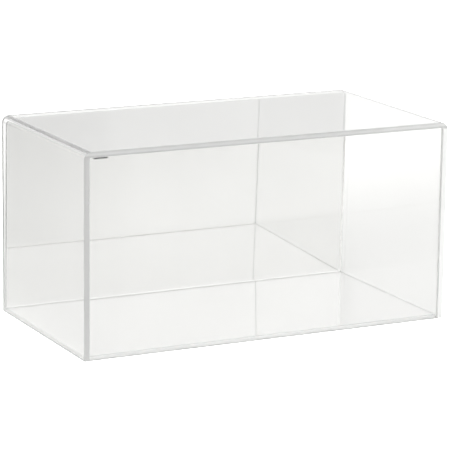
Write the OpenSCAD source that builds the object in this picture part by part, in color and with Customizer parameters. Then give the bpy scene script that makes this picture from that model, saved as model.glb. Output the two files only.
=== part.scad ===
// Football display case: a clear cover of one bent sheet and a bonded front panel, which lifts
// off a clear base panel that carries a mirrored back.
// Origin: centre of the footprint, on the surface the case stands on. The front faces -Y, +Z is up.

/* [Case] */
// Overall width, across the two side walls (mm)
case_w = 352; // [320:1:420]
// Overall depth, front to back (mm)
case_d = 184; // [184:1:240]
// Overall height (mm)
case_h = 180; // [180:1:240]

/* [Sheet] */
// Thickness of the clear sheet that the cover and its front panel are cut from (mm)
sheet_t = 4.8; // [4:0.1:6]
// Thickness of the clear sheet that the base panel is cut from (mm)
base_t = 3.2; // [3:0.1:5]
// Inside radius of the two heated bends in the cover sheet (mm)
bend_r = 2; // [2:0.1:10]
// Thickness of the cement line between two bonded pieces (mm)
bond_line = 0.1; // [0.05:0.05:0.2]

/* [Fit] */
// Clearance between the base unit and the inside of the cover, each side (mm)
fit_gap = 0.5; // [0.3:0.1:1]
// Clearance between the top edge of the mirror and the underside of the cover (mm)
top_gap = 1.2; // [0.5:0.1:3]

/* [Mirror] */
// Thickness of the mirror's clear sheet (mm)
mirror_t = 3; // [2:0.1:4]
// Thickness of the silvered and painted film on the mirror's back (mm)
film_t = 0.3; // [0.2:0.05:0.5]
// Forward lean of the mirror from upright (degrees)
mirror_lean = 1.6; // [0:0.1:3]

/* [Hidden] */
$fn = 96;

// Side walls, front panel and rear edge of the cover
half_w = case_w / 2;
front_y = -case_d / 2;
rear_y = case_d / 2;
inner_half_w = half_w - sheet_t;
inner_top = case_h - sheet_t;
outer_bend_r = bend_r + sheet_t;

// Base unit: fits inside the cover with fit_gap all round
base_half_w = inner_half_w - fit_gap;
base_front_y = front_y + sheet_t + fit_gap;

// Mirror: stands on the base, its back flush with the rear edges at the foot
mirror_foot_z = base_t + bond_line;
mirror_top_z = inner_top - top_gap;
// A leaning slab is cut from a longer one, this much over at each end
slab_over = 20;

// An upright outline with two round top corners, standing on z = 0 and centred on x = 0
module arch_outline(half, top, r) {
    translate([-half, 0]) square([2 * half, top - r]);
    translate([-half + r, 0]) square([2 * (half - r), top]);
    for (side = [-1, 1])
        translate([side * (half - r), top - r]) circle(r = r);
}

// Stands an outline drawn in x and z upright and gives it a depth from y0 to y1
module upright(y0, y1) {
    translate([0, y1, 0]) rotate([90, 0, 0]) linear_extrude(height = y1 - y0) children();
}

// A slab that leans forward about the mirror's rear foot line, between two distances in front
// of the mirror's back face: cut level at the foot, and round at the top to clear the bends
module leaning_slab(from_back, to_back) {
    intersection() {
        translate([0, rear_y, mirror_foot_z])
            rotate([mirror_lean, 0, 0])
                translate([-base_half_w, -to_back, -slab_over])
                    cube([2 * base_half_w, to_back - from_back, case_h + 2 * slab_over]);
        translate([0, 0, mirror_foot_z])
            upright(front_y, rear_y)
                arch_outline(base_half_w, mirror_top_z - mirror_foot_z, bend_r);
    }
}

// Flat floor of the case
module base_panel() {
    color([0.93, 0.94, 0.94, 0.35])
        translate([-base_half_w, base_front_y, 0])
            cube([2 * base_half_w, rear_y - base_front_y, base_t]);
}

// Clear sheet of the mirrored back
module mirror_sheet() {
    color([0.86, 0.88, 0.89, 0.6])
        leaning_slab(film_t + bond_line, film_t + bond_line + mirror_t);
}

// Silver layer with its grey protective paint, on the back of the mirror sheet
module mirror_backing() {
    color([0.62, 0.63, 0.64])
        leaning_slab(0, film_t);
}

// Top and both side walls: one sheet bent twice
module cover_sheet() {
    color([0.93, 0.94, 0.94, 0.3])
        upright(front_y, rear_y)
            difference() {
                arch_outline(half_w, case_h, outer_bend_r);
                arch_outline(inner_half_w, inner_top, bend_r);
            }
}

// Front window, set between the walls and flush with their front edges
module front_panel() {
    color([0.93, 0.94, 0.94, 0.3])
        upright(front_y, front_y + sheet_t)
            arch_outline(inner_half_w - bond_line, inner_top - bond_line, bend_r - bond_line);
}

base_panel();
mirror_sheet();
mirror_backing();
cover_sheet();
front_panel();
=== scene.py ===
"""Looks of the football display case: clear bent cover with its front window, clear base and mirrored back.

Every piece is a sheet. Each one is an outline carried through the sheet's thickness, or, for the cover,
a strip carried along the path of its two bends. Lengths are metres in the case's own frame.
"""

import math

import bpy
import numpy as np
from mathutils import Matrix, Vector


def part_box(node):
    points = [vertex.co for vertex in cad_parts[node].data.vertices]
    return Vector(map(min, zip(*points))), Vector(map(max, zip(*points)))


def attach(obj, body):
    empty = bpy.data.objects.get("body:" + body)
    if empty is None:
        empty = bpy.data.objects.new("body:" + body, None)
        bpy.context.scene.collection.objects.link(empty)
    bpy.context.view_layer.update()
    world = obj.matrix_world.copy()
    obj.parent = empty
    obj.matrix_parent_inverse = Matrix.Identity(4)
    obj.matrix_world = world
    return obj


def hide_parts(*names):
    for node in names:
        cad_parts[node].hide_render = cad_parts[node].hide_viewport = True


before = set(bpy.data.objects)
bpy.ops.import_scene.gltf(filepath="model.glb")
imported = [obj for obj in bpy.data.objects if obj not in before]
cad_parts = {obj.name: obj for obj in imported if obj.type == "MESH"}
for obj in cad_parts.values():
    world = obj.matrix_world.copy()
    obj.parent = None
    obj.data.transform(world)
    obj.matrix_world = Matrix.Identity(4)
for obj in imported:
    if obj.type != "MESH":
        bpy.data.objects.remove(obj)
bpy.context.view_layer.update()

MM = 0.001


# ---------------------------------------------------------------- sizes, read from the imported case

def box_of(node):
    """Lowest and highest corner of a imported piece, as two numpy arrays."""
    low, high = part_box(node)
    return np.array(low, float), np.array(high, float)


base_low, base_high = box_of("base_panel")
cover_low, cover_high = box_of("cover_sheet")
panel_low, panel_high = box_of("front_panel")
mirror_low, mirror_high = box_of("mirror_sheet")
film_low, film_high = box_of("mirror_backing")

sheet_t = panel_high[1] - panel_low[1]
case_h = cover_high[2]
half_w = cover_high[0]
front_y = cover_low[1]
rear_y = cover_high[1]
inner_half_w = half_w - sheet_t
bend_inner_r = 2.0 * MM
bend_outer_r = bend_inner_r + sheet_t
BEND_STEPS = 28
mirror_half_w = mirror_high[0]
mirror_foot_z = mirror_low[2]
mirror_top_z = mirror_high[2]
film_gap = 0.1 * MM
film_t = 0.3 * MM
mirror_t = 3.0 * MM
# The mirror leans forward: the film's front moves by this much from foot to top
lean_run = (film_high[1] - film_low[1]) - film_t
lean = math.atan2(lean_run, mirror_top_z - mirror_foot_z)


# ---------------------------------------------------------------- mesh making

def link_mesh(name, verts, faces, sawn, slots):
    """A mesh object at the origin from arrays of points and quads or polygons. Each face has two values:
    sawn is 0 on the sheet's polished faces and 1 on rough cut edges, slots is which material it takes."""
    mesh = bpy.data.meshes.new(name)
    mesh.from_pydata([tuple(p) for p in verts.tolist()], [], faces)
    layer = mesh.attributes.new("sawn", "FLOAT", "FACE")
    layer.data.foreach_set("value", np.asarray(sawn, np.float32))
    mesh.polygons.foreach_set("material_index", np.asarray(slots, np.int32))
    mesh.update()
    obj = bpy.data.objects.new(name, mesh)
    bpy.context.scene.collection.objects.link(obj)
    return obj


def smooth_with_arris(obj, arris, segments=3):
    """Rounds every cut corner of a sheet by a small arris, and keeps the big faces flat."""
    obj.data.polygons.foreach_set("use_smooth", np.ones(len(obj.data.polygons), bool))
    bevel = obj.modifiers.new("arris", "BEVEL")
    bevel.width = arris
    bevel.segments = segments
    bevel.limit_method = "ANGLE"
    bevel.angle_limit = math.radians(40)
    bevel.harden_normals = True
    return obj


def arch_outline(half, foot, top, radius, steps=14):
    """Points of an upright outline with two round top corners, anticlockwise from the lower right:
    centre +- radius * (cos a, sin a) on each corner, for a over a quarter turn."""
    a = np.linspace(0, math.pi / 2, steps)
    right = np.stack([half - radius + radius * np.cos(a), top - radius + radius * np.sin(a)], 1)
    left = right[::-1] * [-1, 1]
    return np.concatenate([[[half, foot]], right, left, [[-half, foot]]])


def plate(name, outline, place, thickness, arris, foot=0, back=0, side=0, sawn=1.0):
    """A flat sheet: an outline in the plane of the sheet, carried through its thickness. place(p, w) gives
    the point of the case for outline points p at depth w behind the sheet's front face. The edges all round
    are sawn. foot, back and side are the material slots of the lower edge, the back face and other edges."""
    n = len(outline)
    verts = np.concatenate([place(outline, 0.0), place(outline, thickness)])
    i = np.arange(n)
    j = (i + 1) % n
    sides = np.stack([i, i + n, j + n, j], 1).tolist()
    faces = [i.tolist(), (i[::-1] + n).tolist()] + sides
    obj = link_mesh(name, verts, faces, [0, 0] + [sawn] * n, [0, back] + [side] * (n - 1) + [foot])
    return smooth_with_arris(obj, arris)


def bent_sheet(name, arris):
    """The cover sheet: two arch outlines, outside and inside, each from the left foot over the two bends to
    the right foot. Each station has four corners: outside and inside, at the front and at the rear edge."""
    outside = arch_outline(half_w, 0.0, case_h, bend_outer_r, BEND_STEPS)[::-1]
    inside = arch_outline(inner_half_w, 0.0, case_h - sheet_t, bend_inner_r, BEND_STEPS)[::-1]
    n = len(outside)

    def at(p, y):
        return np.stack([p[:, 0], np.full(n, y), p[:, 1]], 1)

    rings = np.stack([at(outside, front_y), at(outside, rear_y), at(inside, rear_y), at(inside, front_y)], 1)
    verts = rings.reshape(-1, 3)
    station = np.arange(n - 1)[:, None] * 4
    corner = np.arange(4)[None, :]
    after = (corner + 1) % 4
    quads = np.stack([station + corner, station + 4 + corner, station + 4 + after, station + after], 2)
    # The front and rear cut edges are scraped
    slots = sawn = [0, 1, 0, 1] * (n - 1)
    last = 4 * (n - 1)
    caps = [[0, 1, 2, 3], [last + 3, last + 2, last + 1, last]]
    obj = link_mesh(name, verts, quads.reshape(-1, 4).tolist() + caps, sawn + [0, 0], slots + [0, 0])
    return smooth_with_arris(obj, arris)


def upright_place(y_front):
    """Places an x-z outline upright, its front face at y_front."""
    def place(p, w):
        return np.stack([p[:, 0], np.full(len(p), y_front + w), p[:, 1]], 1)
    return place


def leaning_place(front_distance):
    """Places an x-z outline on the leaning mirror: each point keeps its height, and lies front_distance
    before the mirror's back face, which leans forward by the angle lean from the rear foot line."""
    def place(p, w):
        back_y = rear_y - (p[:, 1] - mirror_foot_z) * math.tan(lean)
        return np.stack([p[:, 0], back_y - (front_distance - w) / math.cos(lean), p[:, 1]], 1)
    return place


def level_place(z_top):
    """Lays an x-y outline flat, its upper face at z_top."""
    def place(p, w):
        return np.stack([p[:, 0], p[:, 1], np.full(len(p), z_top - w)], 1)
    return place


# ---------------------------------------------------------------- materials

def ramp(nodes, links, source, low, high, from_value, to_value):
    """A smooth step of a value between two places: from_value below low, to_value above high."""
    step = nodes.new("ShaderNodeMapRange")
    step.interpolation_type = "SMOOTHSTEP"
    for name, value in (("From Min", low), ("From Max", high), ("To Min", from_value), ("To Max", to_value)):
        step.inputs[name].default_value = value
    links.new(source, step.inputs["Value"])
    return step.outputs["Result"]


def calc(nodes, links, operation, first, second):
    """A math node. Each side is a socket or a number."""
    node = nodes.new("ShaderNodeMath")
    node.operation = operation
    for index, value in enumerate((first, second)):
        if isinstance(value, (int, float)):
            node.inputs[index].default_value = value
        else:
            links.new(value, node.inputs[index])
    return node.outputs["Value"]


def blend_values(nodes, links, factor, first, second):
    """First value where factor is 0, second where it is 1."""
    node = nodes.new("ShaderNodeMix")
    for name, value in (("Factor", factor), ("A", first), ("B", second)):
        if isinstance(value, (int, float)):
            node.inputs[name].default_value = value
        else:
            links.new(value, node.inputs[name])
    return node.outputs["Result"]


def new_material(name):
    """An empty node material: its nodes, its links and its Principled shader."""
    material = bpy.data.materials.new(name)
    material.use_nodes = True
    nodes = material.node_tree.nodes
    return material, nodes, material.node_tree.links, nodes["Principled BSDF"]


def noise(nodes, links, vector, scale, detail=2.0):
    """Fractal noise of a vector socket, from 0 to 1."""
    node = nodes.new("ShaderNodeTexNoise")
    node.inputs["Scale"].default_value = scale
    node.inputs["Detail"].default_value = detail
    links.new(vector, node.inputs["Vector"])
    return node.outputs["Fac"]


def effect_group(name, inputs, outputs):
    """An empty node group: the group, its input sockets and the sockets its results go to."""
    tree = bpy.data.node_groups.new(name, "ShaderNodeTree")
    for word, value in inputs.items():
        tree.interface.new_socket(word, in_out="INPUT", socket_type="NodeSocketFloat").default_value = value
    for word in outputs:
        tree.interface.new_socket(word, in_out="OUTPUT", socket_type="NodeSocketFloat")
    given, result = tree.nodes.new("NodeGroupInput"), tree.nodes.new("NodeGroupOutput")
    return tree, given.outputs, result.inputs


def handling_marks():
    """Wiping hairlines and a few dust specks. Hairlines are noise drawn out long in one direction and cut
    off above a high level; specks are the cores of scattered cells."""
    tree, given, result = effect_group("handling_marks", {"Hairlines": 0.05, "Dust": 0.3},
                                       ("Roughness", "Height"))
    nodes, links = tree.nodes, tree.links
    coord = nodes.new("ShaderNodeTexCoord")
    hairs = []
    for turn in (0.3, 1.2, 2.3):
        mapping = nodes.new("ShaderNodeMapping")
        mapping.inputs["Rotation"].default_value = (turn, turn * 0.7, turn)
        mapping.inputs["Scale"].default_value = (900.0, 12.0, 12.0)
        links.new(coord.outputs["Object"], mapping.inputs["Vector"])
        drawn_out = noise(nodes, links, mapping.outputs["Vector"], 1.0, 0.0)
        hairs.append(ramp(nodes, links, drawn_out, 0.77, 0.82, 0.0, 1.0))
    hair = calc(nodes, links, "MAXIMUM", calc(nodes, links, "MAXIMUM", hairs[0], hairs[1]), hairs[2])
    cells = nodes.new("ShaderNodeTexVoronoi")
    cells.inputs["Scale"].default_value = 110.0
    links.new(coord.outputs["Object"], cells.inputs["Vector"])
    speck = ramp(nodes, links, cells.outputs["Distance"], 0.03, 0.05, 1.0, 0.0)
    hair = calc(nodes, links, "MULTIPLY", hair, given["Hairlines"])
    speck = calc(nodes, links, "MULTIPLY", speck, given["Dust"])
    links.new(calc(nodes, links, "ADD", hair, speck), result["Roughness"])
    links.new(speck, result["Height"])
    return tree


def tool_marks():
    """Fine scrape marks from 0 to 1 that run along the cut edge: noise drawn out along z on the upright
    edges, and along x on the top."""
    tree, given, result = effect_group("tool_marks", {"Depth": 1.0}, ("Mark",))
    nodes, links = tree.nodes, tree.links
    coord = nodes.new("ShaderNodeTexCoord")
    runs = []
    for scale in ((900.0, 900.0, 9.0), (9.0, 900.0, 900.0)):
        mapping = nodes.new("ShaderNodeMapping")
        mapping.inputs["Scale"].default_value = scale
        links.new(coord.outputs["Object"], mapping.inputs["Vector"])
        runs.append(noise(nodes, links, mapping.outputs["Vector"], 1.0, 3.0))
    split = nodes.new("ShaderNodeSeparateXYZ")
    links.new(coord.outputs["Object"], split.inputs["Vector"])
    over = ramp(nodes, links, split.outputs["Z"], case_h - bend_outer_r, case_h - sheet_t, 0.0, 1.0)
    mark = blend_values(nodes, links, over, runs[0], runs[1])
    links.new(calc(nodes, links, "MULTIPLY", mark, given["Depth"]), result["Mark"])
    return tree


def cloudiness():
    """Soft uneven brightness: fractal noise spread between a low and a high value."""
    tree, given, result = effect_group("cloudiness", {"Scale": 9.0, "Low": 0.99, "High": 1.0}, ("Value",))
    nodes, links = tree.nodes, tree.links
    coord = nodes.new("ShaderNodeTexCoord")
    cloud = nodes.new("ShaderNodeTexNoise")
    cloud.inputs["Detail"].default_value = 4.0
    links.new(coord.outputs["Object"], cloud.inputs["Vector"])
    links.new(given["Scale"], cloud.inputs["Scale"])
    spread = ramp(nodes, links, cloud.outputs["Fac"], 0.3, 0.7, 0.0, 1.0)
    links.new(blend_values(nodes, links, spread, given["Low"], given["High"]), result["Value"])
    return tree


ACRYLIC_IOR = 1.49
# Least roughness of a sawn edge, before the scrape marks
SAWN_ROUGH = 0.3 - 0.2
# Painted light and shade on the scraped edges, their brightness: over the top at its faces and its middle,
# down the left, and elsewhere
EDGE_TOP_OUTER_SHADE = 0.66
EDGE_TOP_MIDDLE_SHADE = 0.80
EDGE_LEFT_SHADE = 0.72
EDGE_PALE = 1.0
# Painted shade, a short dark patch on the window by its joint under the upper left bend: how far its middle
# is from the left wall, where it starts and stops to fade out along the joint and downwards, and how dark it
# is
SHADE_PATCH_INSET = 10.5 * MM
SHADE_PATCH_ALONG = (5.0 * MM, 7.5 * MM)
SHADE_PATCH_DOWN = (1.2 * MM, 1.9 * MM)
SHADE_PATCH_VALUE = 0.12

MARKS = handling_marks()
SCRAPES = tool_marks()
CLOUDS = cloudiness()


def place_group(nodes, tree, **values):
    """A node group in a material, with its own input values."""
    node = nodes.new("ShaderNodeGroup")
    node.node_tree = tree
    for word, value in values.items():
        node.inputs[word].default_value = value
    return node.outputs


def bump(nodes, links, shader, height, depth):
    """Feeds a height to the shader's normal, depth in metres."""
    node = nodes.new("ShaderNodeBump")
    node.inputs["Strength"].default_value = 1.0
    node.inputs["Distance"].default_value = depth
    links.new(height, node.inputs["Height"])
    links.new(node.outputs["Normal"], shader.inputs["Normal"])


def grey_tint(nodes, links, shader, value, tint):
    """Feeds a brightness times a tint to the base colour."""
    colour = nodes.new("ShaderNodeCombineColor")
    for name, part in zip(("Red", "Green", "Blue"), tint):
        links.new(calc(nodes, links, "MULTIPLY", value, part), colour.inputs[name])
    links.new(colour.outputs["Color"], shader.inputs["Base Color"])


def object_axes(nodes, links):
    """x, y and z of the case."""
    coord = nodes.new("ShaderNodeTexCoord")
    split = nodes.new("ShaderNodeSeparateXYZ")
    links.new(coord.outputs["Object"], split.inputs["Vector"])
    return [split.outputs[axis] for axis in "XYZ"]


def clear_acrylic(name, tint, shade=None):
    """Clear cast sheet: polished faces with faint handling marks, and cut edges that are less smooth. shade
    makes a brightness out of the case's x, y and z."""
    material, nodes, links, shader = new_material(name)
    shader.inputs["IOR"].default_value = ACRYLIC_IOR
    shader.inputs["Transmission Weight"].default_value = 1.0
    value = place_group(nodes, CLOUDS, Scale=9.0, Low=0.994, High=1.0)["Value"]
    if shade:
        value = calc(nodes, links, "MULTIPLY", value, shade(nodes, links, *object_axes(nodes, links)))
    grey_tint(nodes, links, shader, value, tint)
    layer = nodes.new("ShaderNodeAttribute")
    layer.attribute_name = "sawn"
    marks = place_group(nodes, MARKS, Hairlines=0.05, Dust=0.25)
    scrapes = place_group(nodes, SCRAPES, Depth=0.4)
    rough = calc(nodes, links, "MULTIPLY", layer.outputs["Fac"],
                 calc(nodes, links, "ADD", scrapes["Mark"], SAWN_ROUGH))
    rough = calc(nodes, links, "ADD", rough, marks["Roughness"])
    links.new(rough, shader.inputs["Roughness"])
    bump(nodes, links, shader, marks["Height"], 0.02 * MM)
    return material


def window_painted_shade_patch(nodes, links, x, y, z):
    """Painted shade: a short dark stretch on the window by its joint, under the bend at the upper left."""
    across = calc(nodes, links, "ABSOLUTE", calc(nodes, links, "ADD", x, inner_half_w - SHADE_PATCH_INSET), 0.0)
    down = calc(nodes, links, "SUBTRACT", panel_high[2], z)
    return calc(nodes, links, "MAXIMUM", ramp(nodes, links, across, *SHADE_PATCH_ALONG, SHADE_PATCH_VALUE, 1.0),
                ramp(nodes, links, down, *SHADE_PATCH_DOWN, SHADE_PATCH_VALUE, 1.0))


def scraped_edge_painted_shade(name, tint):
    """The scraped cut edge of clear sheet: half clear, half a fine grey, partly from the tool marks and
    partly painted shade. Along the top it is painted lighter in the middle of its thickness and darker at its
    faces.
    Down the left it is painted dark, and everywhere else it is pale."""
    material, nodes, links, shader = new_material(name)
    shader.inputs["IOR"].default_value = ACRYLIC_IOR
    shader.inputs["Transmission Weight"].default_value = 0.4
    x, y, z = object_axes(nodes, links)
    # Painted light and shade: the top edge darker at its faces than in its middle, the left edge darker than
    # the rest
    middle = calc(nodes, links, "ABSOLUTE", calc(nodes, links, "SUBTRACT", z, case_h - sheet_t / 2), 0.0)
    top = ramp(nodes, links, middle, 0.5 * MM, 1.6 * MM, EDGE_TOP_MIDDLE_SHADE, EDGE_TOP_OUTER_SHADE)
    side = ramp(nodes, links, x, -inner_half_w + 0.1 * MM, -inner_half_w + 0.3 * MM, EDGE_LEFT_SHADE, EDGE_PALE)
    over = ramp(nodes, links, z, case_h - bend_outer_r, case_h - sheet_t, 0.0, 1.0)
    value = blend_values(nodes, links, over, side, top)
    scrapes = place_group(nodes, SCRAPES, Depth=1.0)
    value = calc(nodes, links, "MULTIPLY", value, ramp(nodes, links, scrapes["Mark"], 0.3, 0.7, 0.95, 1.03))
    grey_tint(nodes, links, shader, value, tint)
    links.new(ramp(nodes, links, scrapes["Mark"], 0.3, 0.7, 0.3, 0.5), shader.inputs["Roughness"])
    bump(nodes, links, shader, scrapes["Mark"], 0.01 * MM)
    return material


def silver_film(name):
    """Mirror silver: very slightly cloudy."""
    material, nodes, links, shader = new_material(name)
    shader.inputs["Metallic"].default_value = 1.0
    value = place_group(nodes, CLOUDS, Scale=14.0, Low=0.922, High=0.936)["Value"]
    grey_tint(nodes, links, shader, value, (1.0, 1.0, 0.995))
    marks = place_group(nodes, MARKS, Hairlines=0.03, Dust=0.1)
    links.new(marks["Roughness"], shader.inputs["Roughness"])
    return material


def grey_paint(name):
    """Protective paint on the mirror's back: mid grey, rolled on, so mottled and finely pebbled."""
    material, nodes, links, shader = new_material(name)
    value = place_group(nodes, CLOUDS, Scale=22.0, Low=0.30, High=0.35)["Value"]
    grey_tint(nodes, links, shader, value, (0.98, 1.0, 1.03))
    pebble = noise(nodes, links, nodes.new("ShaderNodeTexCoord").outputs["Object"], 900.0, 3.0)
    links.new(ramp(nodes, links, pebble, 0.3, 0.7, 0.42, 0.6), shader.inputs["Roughness"])
    bump(nodes, links, shader, pebble, 0.03 * MM)
    return material


SHEET_TINT = (0.9995, 0.9995, 0.9985)
clear = clear_acrylic("clear_sheet", SHEET_TINT)
# The window's glass carries a painted shade patch under the bend at the upper left
window_clear = clear_acrylic("window_sheet", SHEET_TINT, window_painted_shade_patch)
edge = scraped_edge_painted_shade("scraped_edge_painted_shade", (0.995, 1.0, 0.995))
silver = silver_film("mirror_silver")
paint = grey_paint("mirror_back_paint")


# ---------------------------------------------------------------- the pieces

def dress(obj, materials, body, node):
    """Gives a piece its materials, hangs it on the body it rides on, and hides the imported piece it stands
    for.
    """
    for material in materials:
        obj.data.materials.append(material)
    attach(obj, body)
    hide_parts(node)
    return obj


ARRIS = 0.3 * MM

cover = bent_sheet("cover_bent_sheet", ARRIS)
dress(cover, (clear, edge), "cover", "cover_sheet")

window_outline = arch_outline(panel_high[0], 0.0, panel_high[2], bend_inner_r)
window = plate("front_window", window_outline, upright_place(front_y), sheet_t, ARRIS, foot=1, side=1)
dress(window, (window_clear, edge), "cover", "front_panel")

base_corners = np.array([[base_high[0], base_low[1]], [base_high[0], base_high[1]],
                         [base_low[0], base_high[1]], [base_low[0], base_low[1]]])
base = plate("base_floor", base_corners, level_place(base_high[2]), base_high[2] - base_low[2], ARRIS,
             foot=1, side=1)
dress(base, (clear, edge), "base_unit", "base_panel")

mirror_outline = arch_outline(mirror_half_w, mirror_foot_z, mirror_top_z, bend_inner_r)
mirror = plate("mirror_clear_sheet", mirror_outline, leaning_place(film_t + film_gap + mirror_t), mirror_t,
               ARRIS, foot=1, sawn=0.3)
dress(mirror, (clear, edge), "base_unit", "mirror_sheet")
film = plate("mirror_silver_film", mirror_outline, leaning_place(film_t), film_t, 0.05 * MM, foot=1, back=1)
dress(film, (silver, paint), "base_unit", "mirror_backing")


# ---------------------------------------------------------------- stage, light and camera

# Painted light and shade on the floor, a fall-off of the studio light: how pale it is far in front, just in
# front, under the case and far behind
FLOOR_FRONT = 0.64
FLOOR_NEAR = 0.735
FLOOR_UNDER = 0.69
FLOOR_BACK = 0.96
# Painted shade: to the left of a line that runs away from the case to the right, the floor is painted greyer,
# and it fades beside it
FLOOR_GREYER = 0.80
FLOOR_FADE = 0.88
FLOOR_LINE = (-0.126, -0.130)
FLOOR_LINE_NORMAL = (0.904, 0.428)
# How bright the soft box and the room in front are, and the wall behind from left to right
SOFT_BOX = 1.7
ROOM_FRONT = 1.1
WALL_LEFT = 0.76
WALL_MIDDLE = 0.80
WALL_RIGHT = 0.95
WALL_STEPS = (math.radians(23.8), math.radians(29.6))


def floor_plane():
    """A wide pale floor with painted light and shade in its colour: a little darker towards the front, darker
    under the case with a painted shadow at its left, bright far behind. Seen directly it glows clean white,
    an overexposed sweep of painted light."""
    size = 8.0
    mesh = bpy.data.meshes.new("floor")
    corners = [(-size, -size, 0), (size, -size, 0), (size, size, 0), (-size, size, 0)]
    mesh.from_pydata(corners, [], [(0, 1, 2, 3)])
    obj = bpy.data.objects.new("floor", mesh)
    bpy.context.scene.collection.objects.link(obj)
    obj.location.z = -0.2 * MM
    material, nodes, links, shader = new_material("floor_white")
    coord = nodes.new("ShaderNodeTexCoord")
    split = nodes.new("ShaderNodeSeparateXYZ")
    links.new(coord.outputs["Object"], split.inputs["Vector"])
    x, y = split.outputs["X"], split.outputs["Y"]
    # Distance to the right of the line where the painted shade of the floor begins
    offsets = [calc(nodes, links, "SUBTRACT", axis, place) for axis, place in zip((x, y), FLOOR_LINE)]
    parts = [calc(nodes, links, "MULTIPLY", offset, part) for offset, part in zip(offsets, FLOOR_LINE_NORMAL)]
    past = calc(nodes, links, "ADD", *parts)
    end = calc(nodes, links, "MULTIPLY", ramp(nodes, links, past, -0.004, 0.004, FLOOR_GREYER, 1.0),
               ramp(nodes, links, past, 0.03, 0.18, FLOOR_FADE, 1.0))
    front = calc(nodes, links, "MULTIPLY", ramp(nodes, links, y, -0.75, -0.2, FLOOR_FRONT, FLOOR_NEAR),
                 calc(nodes, links, "MULTIPLY", ramp(nodes, links, x, 0.25, 0.45, 1.0, 1.09), end))
    # Painted shadow of the case on the floor at its left. Under the case the floor is painted a shade darker
    under = calc(nodes, links, "MULTIPLY", ramp(nodes, links, x, -0.24, -0.17, 0.80, 1.0),
                 ramp(nodes, links, x, 0.17, 0.24, FLOOR_UNDER, FLOOR_UNDER * 1.01))
    near = blend_values(nodes, links, ramp(nodes, links, y, -0.12, -0.095, 0.0, 1.0), front, under)
    level = calc(nodes, links, "MULTIPLY", ramp(nodes, links, y, 0.2, 0.75, 0.0, 1.0),
                 ramp(nodes, links, x, -0.3, 0.3, 0.0, 1.0))
    shade = blend_values(nodes, links, level, near, FLOOR_BACK)
    colour = nodes.new("ShaderNodeCombineColor")
    for name, tint in (("Red", 1.0), ("Green", 1.0), ("Blue", 0.99)):
        links.new(calc(nodes, links, "MULTIPLY", shade, tint), colour.inputs[name])
    links.new(colour.outputs["Color"], shader.inputs["Base Color"])
    shader.inputs["Roughness"].default_value = 0.9
    shader.inputs["Specular IOR Level"].default_value = 0.0
    # Painted light: the floor glows white for camera rays, so seen directly it shows none of its painted
    # shading
    path = nodes.new("ShaderNodeLightPath")
    shader.inputs["Emission Color"].default_value = (1, 1, 1, 1)
    links.new(path.outputs["Is Camera Ray"], shader.inputs["Emission Strength"])
    mesh.materials.append(material)


def soft_sky():
    """Studio light from all round: a wide soft box overhead, a bright room in front, a greyer wall behind
    with a darker part at the left."""
    world = bpy.data.worlds.new("studio")
    bpy.context.scene.world = world
    world.use_nodes = True
    nodes, links = world.node_tree.nodes, world.node_tree.links
    background = nodes["Background"]
    background.inputs["Color"].default_value = (1, 1, 0.995, 1)
    coord = nodes.new("ShaderNodeTexCoord")
    split = nodes.new("ShaderNodeSeparateXYZ")
    links.new(coord.outputs["Generated"], split.inputs["Vector"])
    x, y, z = (split.outputs[axis] for axis in "XYZ")
    # The wall behind is a little brighter in each part from left to right
    parts = []
    for step in WALL_STEPS:
        along = calc(nodes, links, "SUBTRACT", x, calc(nodes, links, "MULTIPLY", y, math.tan(step)))
        parts.append(ramp(nodes, links, along, -0.004, 0.004, 0.0, 1.0))
    wall = blend_values(nodes, links, parts[0], WALL_LEFT, WALL_MIDDLE)
    wall = blend_values(nodes, links, parts[1], wall, WALL_RIGHT)
    low = blend_values(nodes, links, ramp(nodes, links, y, -0.3, 0.3, 0.0, 1.0), ROOM_FRONT, wall)
    links.new(blend_values(nodes, links, ramp(nodes, links, z, 0.6, 0.85, 0.0, 1.0), low, SOFT_BOX),
              background.inputs["Strength"])


def add_camera():
    """The camera: in front and to the left, a little above, with a long lens."""
    azimuth = math.radians(26.7)
    elevation = math.radians(12.93)
    roll = math.radians(0.68)
    distance = 2.312
    target_point = Vector((0.0017, 0.0, 0.0828))
    data = bpy.data.cameras.new("camera")
    data.sensor_width = 36.0
    data.lens = 206.0
    data.clip_end = 100.0
    camera = bpy.data.objects.new("camera", data)
    bpy.context.scene.collection.objects.link(camera)
    look = Vector((math.sin(azimuth) * math.cos(elevation), math.cos(azimuth) * math.cos(elevation),
                   -math.sin(elevation)))
    level = Vector((math.cos(azimuth), -math.sin(azimuth), 0.0))
    upward = level.cross(look)
    right = level * math.cos(roll) + upward * math.sin(roll)
    up = upward * math.cos(roll) - level * math.sin(roll)
    camera.location = target_point - look * distance
    camera.rotation_euler = Matrix((right, up, -look)).transposed().to_euler()
    bpy.context.scene.camera = camera


floor_plane()
soft_sky()
add_camera()

scene = bpy.context.scene
scene.view_settings.view_transform = "Standard"
scene.cycles.max_bounces = 96
scene.cycles.transmission_bounces = 96
scene.cycles.glossy_bounces = 96
scene.cycles.diffuse_bounces = 5
scene.cycles.sample_clamp_indirect = 0.0
scene.cycles.blur_glossy = 0.0
